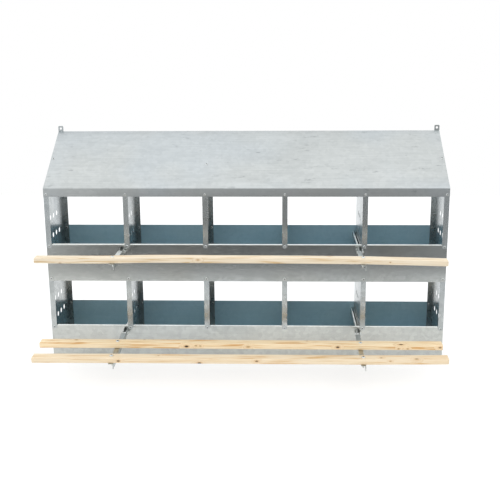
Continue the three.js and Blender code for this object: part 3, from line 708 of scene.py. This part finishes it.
# A rounded rectangle carried along the batten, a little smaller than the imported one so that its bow
# stays inside. It is bowed by slow sines, lowered by its warp, and drawn in over endRound at each end,
# by the square of its nearness to the end. The bow's sines are in radians per metre.
def makePerch(name, seed):
    row = perchRows[name]
    low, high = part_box(name)
    middle = (low + high) / 2
    corner, points, endStep = batten["edge"], batten["points"], batten["endStep"]
    half = np.array([batten["depth"], batten["height"]]) / 2
    turn = np.linspace(0, 2 * math.pi, points + 1)[:-1] + math.pi / points
    swell = np.stack([np.cos(turn), np.sin(turn)], -1)
    section = np.sign(swell) * (half - corner) + swell * corner
    ends = np.array([0, 0.3, 0.8, 1.5]) * mm
    stations = np.concatenate([low.x + ends,
                               np.linspace(low.x + endStep, high.x - endStep, batten["stations"]),
                               high.x - ends[::-1]])
    fromEnd = np.minimum(stations - low.x, high.x - stations) / batten["endRound"]
    inset = np.clip(1 - fromEnd, 0, 1) ** 2 * batten["endInset"]
    rings = section[None] * (1 - inset[:, None, None] / half)
    across, lift = stations * batten["bowAcross"] + seed, stations * batten["bowUp"] + seed * 2
    bow = batten["bow"] * np.stack([np.sin(across), np.sin(lift)], -1)
    rings = rings * batten["slack"] + bow[:, None, :]
    rings[..., 1] -= warpOf(name, stations)[:, None]
    place = np.broadcast_to(stations[:, None, None], rings.shape[:2] + (1,))
    vertices = tilted(np.concatenate([place, rings], -1), row, (0, middle.y, middle.z))
    last = (len(stations) - 1) * points
    faces = ringFaces(len(stations), points)
    faces += [list(range(points - 1, -1, -1)), list(range(last, last + points))]
    faces = [face[::-1] for face in faces]
    spots = [(x, middle.y + y * mm, middle.z + z * mm, size * mm, depth)
             for x, y, z, size, depth in knots[name]]
    light, dark, growth = pineTones[name]
    wood = planedPine(f"planedPine.{name}", light, dark, growth, spots, seed)
    addPiece(camelName(name), vertices.reshape(-1, 3), faces, wood, f"{row}_perch_frame", [name])


for row in rows:
    for side in sides:
        makeRail(row, side)
        makeArm(row, side)
for i, name in enumerate(perchRows):
    makePerch(name, batten["firstSeed"] + i * batten["seedStep"])
print("perches made")


# Profiles are (radius, height) in millimetres, from the foot up; the last three points of the screw and
# the dome are the drive recess.
screwProfile = [(0.01, 0), (4.2, 0), (4.3, 0.5), (4.1, 1.2), (3.6, 1.9), (3.0, 2.35), (2.4, 2.5), (2.3, 2.1),
                (2.0, 0.9), (0.01, 0.8)]
domeProfile = [(0.01, 0), (7, 0), (7, 0.5), (6.6, 1.2), (5.6, 2.0), (4.4, 2.5), (3.3, 2.75), (3.1, 2.4),
               (2.8, 1.0), (0.01, 0.9)]
nutProfile = [(3.05, 0), (4.9, 0), (5.6, 0.5), (5.6, 4.3), (4.9, 4.8), (3.05, 4.8), (3.0, 4.2), (3.0, 0.6)]
hexHeadProfile = [(0.01, 0), (5.6, 0), (5.6, 4.2), (4.8, 4.8), (0.01, 4.8)]
recessRings = 3
hexNut, hexHead = slice(1, 5), slice(-4, -1)  # the rings that are hexagonal
turnedSides = 24
# In millimetres. The flats are at half the width across them; the play is the gap below a dome or above
# a nut; the reach is the tip's height from the dome's foot.
fastener = {"flats": 4.85, "head": 4.8, "nut": 4.8, "play": 0.3, "shank": 3.0, "threadDepth": 0.35,
            "threadStep": 0.5, "threadRidges": 9, "tip": 2.3, "tipLength": 0.3, "perchReach": -38.6,
            "hingeShort": 0.4}


# A body of revolution in metres. Its hexagonal rings are kept within a hexagon: at an angle, its edge is
# the flats' distance over the cosine of the angle from the nearest flat's middle.
def turnedRings(profile, hexRings=slice(0)):
    angles = np.arange(turnedSides) * 2 * math.pi / turnedSides
    sixth = math.pi / 3
    hexagon = fastener["flats"] / np.cos((angles + sixth / 2) % sixth - sixth / 2)
    radii = np.repeat(np.array(profile)[:, :1], turnedSides, 1)
    radii[hexRings] = np.minimum(radii[hexRings], hexagon[None])
    heights = np.repeat(np.array(profile)[:, 1:], turnedSides, 1)
    return np.stack([radii * np.cos(angles), radii * np.sin(angles), heights], -1) * mm


# Stands the rings on a place, with their height along an axis.
def makeTurned(name, rings, place, axis, body, replaced=(), recess=0):
    axis = np.asarray(axis, float)
    side = np.cross([1.0, 0, 0] if abs(axis[0]) < 0.9 else [0, 0, 1.0], axis)
    side /= np.linalg.norm(side)
    other = np.cross(axis, side)
    turned = rings[..., :1] * side + rings[..., 1:2] * other + rings[..., 2:] * axis + np.asarray(place)
    count = rings.shape[1]
    last = (len(rings) - 1) * count
    faces = ringFaces(len(rings), count) + [list(range(count - 1, -1, -1)), list(range(last, last + count))]
    isRecess = np.repeat(np.arange(len(rings)) >= len(rings) - recess, count)
    addPiece(name, turned.reshape(-1, 3), faces, boltZinc, body, replaced,
             smoothAngle=30, tidy=True, marks=isRecess)


# Where the small screws sit on the sheets, in metres.
screw = {"fasciaDepth": 2.3 * mm, "lipDrop": 10 * mm, "footRise": 10 * mm, "backDrop": 11 * mm,
         "flange": 1 * mm, "roofInset": 10 * mm, "roofSink": 0.5 * mm}


# A domed screw with a drive recess, standing out to the front unless it has an axis of its own.
def makeScrew(name, place, axis=(0, -1, 0), replaced=()):
    makeTurned(name, turnedRings(screwProfile), place, axis, "cabinet", replaced, recessRings)


# Screws on the fascia, the post tabs, the upper panel's foot, the back flanges and the roof.
def makeScrews():
    for i in range(1, 7):
        node = f"roof_screw_{i}"
        low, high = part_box(node)
        centre = (low + high) / 2
        makeScrew(f"roofScrew.{i}", (centre.x, low.y + screw["fasciaDepth"], centre.z), replaced=[node])
    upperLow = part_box("upper_front_panel")[0]
    for row in rows:
        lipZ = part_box(f"{row}_front_panel")[1].z - screw["lipDrop"]
        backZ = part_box(f"{row}_back_strip")[1].z - screw["backDrop"]
        for i, name in enumerate(wallNames, 1):
            low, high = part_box(f"{row}_{name}")
            middle = (low.x + high.x) / 2
            makeScrew(f"{row}LipScrew.{i}", (middle, low.y, lipZ))
            makeScrew(f"{row}BackScrew.{i}", (middle, high.y - screw["flange"], backZ))
            if row == "lower":
                makeScrew(f"footScrew.{i}", (middle, upperLow.y, upperLow.z + screw["footRise"]))
    low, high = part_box("roof_panel")
    run = high.y - low.y
    slope = roof["rise"] / run
    normal = np.array([0, -slope, 1]) / math.hypot(slope, 1)
    dividerX = centreOf("upper_divider_2").x
    for side, x, upSlope in (("left", low.x + screw["roofInset"], 0.5),
                             ("right", high.x - screw["roofInset"], 0.5), ("middle", dividerX, 0.4)):
        skinZ = high.z - roof["rise"] * (1 - upSlope)
        makeScrew(f"{side}RoofScrew", (x, low.y + upSlope * run, skinZ - screw["roofSink"]), normal)


# A head with a shank below it, whose last stretch is ridged as a thread.
def boltRings(head, reach):
    shank, tip, end = fastener["shank"], fastener["tip"], reach - fastener["tipLength"]
    thread = [(shank - fastener["threadDepth"] * (k % 2), reach + fastener["threadStep"] * k)
              for k in range(fastener["threadRidges"])]
    return [(0.01, end), (tip, end)] + thread + [(shank, 0.0)] + head[1:]


def makePerchBolts():
    play, armSheet = fastener["play"], arm["sheet"] / mm
    lift = batten["height"] / 2 / mm + play
    stem = turnedRings(boltRings(domeProfile, fastener["perchReach"]))
    for name, row in perchRows.items():
        up = np.array([0, -math.sin(droop[row]), math.cos(droop[row])])
        middle = np.array(centreOf(name))
        body = f"{row}_perch_frame"
        for side in sides:
            node = f"{name}_{side}"
            middle[0] = centreOf(f"{node}_bolt").x
            makeTurned(f"{camelName(node)}Bolt", stem, middle + up * lift * mm, up, body, [f"{node}_bolt"],
                       recessRings)
            nutFoot = middle - up * (lift + armSheet + play + fastener["nut"]) * mm
            makeTurned(f"{camelName(node)}Nut", turnedRings(nutProfile, hexNut), nutFoot, up, body,
                       [f"{node}_nut"])


def makeHingeBolts():
    for row in rows:
        for side in sides:
            node = f"{row}_{side}_hinge"
            low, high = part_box(f"{node}_bolt")
            middle = (low + high) / 2
            reach = fastener["head"] + fastener["hingeShort"] - (high.x - low.x) / mm
            makeTurned(f"{camelName(node)}Bolt", turnedRings(boltRings(hexHeadProfile, reach), hexHead),
                       (low.x + fastener["head"] * mm, middle.y, middle.z), (-1, 0, 0), "cabinet",
                       [f"{node}_bolt"])
            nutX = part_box(f"{node}_nut")[0].x
            makeTurned(f"{camelName(node)}Nut", turnedRings(nutProfile, hexNut), (nutX, middle.y, middle.z),
                       (1, 0, 0), "cabinet", [f"{node}_nut"])


makeScrews()
makePerchBolts()
makeHingeBolts()
print("fasteners made")


# Metres, except that the glow is the floor's own light, which keeps it pale below the soft shadow.
studio = {"floorFront": -1.4, "floorSide": 3.2, "floorBack": 3.5, "floorTone": "#b4b4b4", "glow": 0.57}
softbox = {"place": (0, -0.3, 3.0), "tilt": -6.582, "size": (3.2, 2.2), "power": 8}


def makeFloorSheet():
    front, back, side = studio["floorFront"], studio["floorBack"], studio["floorSide"]
    mesh = bpy.data.meshes.new("studioFloor")
    corners = [(-side, front, 0), (side, front, 0), (side, back, 0), (-side, back, 0)]
    mesh.from_pydata(corners, [], [(0, 1, 2, 3)])
    material, tree = newMaterial("paleFloor")
    matt = addNode(tree, "ShaderNodeBsdfDiffuse", values={"Color": toLinear(studio["floorTone"])})
    glow = addNode(tree, "ShaderNodeEmission",
                   values={"Color": (1, 1, 1, 1), "Strength": studio["glow"]})
    both = addNode(tree, "ShaderNodeAddShader", links={0: matt.outputs[0], 1: glow.outputs[0]})
    finishMaterial(tree, both.outputs[0])
    mesh.materials.append(material)
    sheet = bpy.data.objects.new("studioFloor", mesh)
    scene.collection.objects.link(sheet)


# A wide lamp overhead, tilted a little about x.
def addSoftbox():
    data = bpy.data.lights.new("overheadSoftbox", "AREA")
    data.shape = "RECTANGLE"
    data.size, data.size_y = softbox["size"]
    data.energy = softbox["power"]
    lamp = bpy.data.objects.new("overheadSoftbox", data)
    scene.collection.objects.link(lamp)
    lamp.location = softbox["place"]
    lamp.rotation_euler = (math.radians(softbox["tilt"]), 0, 0)


# The light around is white behind and overhead, and dark low down in front, which is what the upright
# sheets mirror. Each part fades in between two values of the way's x, y or z, or of x with z mixed in:
# (from, to, strength before, strength after). "above" is multiplied by "forward".
lightFades = {
    "behind": (-0.25, 0.35, 0.1, 1.1),
    "horizon": (-0.2, -0.1, 0.1, 0.34),
    "above": (0.05, 0.6, 0.0, 1.3),
    "forward": (0.0, -0.5, 1.0, 1.35),
    "fromLeft": (-0.065, -0.13, 0.0, 1.35),
    "fromRight": (0.0, 0.04, 0.0, 0.65),
}
sideSlope = 0.8
lightTint = (0.97, 0.985, 1.0, 1)


def makeSurroundings():
    world = bpy.data.worlds.new("studio")
    scene.world = world
    world.use_nodes = True
    tree = world.node_tree
    tree.nodes.clear()
    way = addNode(tree, "ShaderNodeTexCoord").outputs["Generated"]
    parts = addNode(tree, "ShaderNodeSeparateXYZ", links={"Vector": way})
    x, y, z = parts.outputs
    leftward, rightward = (addNode(tree, "ShaderNodeMath", {"operation": "MULTIPLY_ADD"}, {1: slope},
                                   {0: z, 2: x}).outputs[0] for slope in (-sideSlope, sideSlope))
    drivenBy = {"behind": y, "horizon": z, "above": z, "forward": y, "fromLeft": leftward,
                "fromRight": rightward}
    strengths = {}
    for name, span in lightFades.items():
        values = dict(zip(("From Min", "From Max", "To Min", "To Max"), span))
        fade = addNode(tree, "ShaderNodeMapRange", {"interpolation_type": "SMOOTHSTEP"}, values,
                       {"Value": drivenBy[name]})
        strengths[name] = fade.outputs[0]
    brightest = addNode(tree, "ShaderNodeMath", {"operation": "MULTIPLY"},
                        links={0: strengths["above"], 1: strengths["forward"]}).outputs[0]
    for name in ("behind", "horizon", "fromLeft", "fromRight"):
        brightest = addNode(tree, "ShaderNodeMath", {"operation": "MAXIMUM"},
                            links={0: brightest, 1: strengths[name]}).outputs[0]
    studioLight = addNode(tree, "ShaderNodeBackground", values={"Color": lightTint},
                          links={"Strength": brightest})
    backdrop = addNode(tree, "ShaderNodeBackground", values={"Color": (1, 1, 1, 1), "Strength": 1.0})
    seen = addNode(tree, "ShaderNodeLightPath").outputs["Is Camera Ray"]
    mixed = addNode(tree, "ShaderNodeMixShader",
                    links={0: seen, 1: studioLight.outputs[0], 2: backdrop.outputs[0]})
    addNode(tree, "ShaderNodeOutputWorld", links={"Surface": mixed.outputs[0]})


makeFloorSheet()
makeSurroundings()
addSoftbox()
scene.view_settings.view_transform = "Standard"
print("studio made")
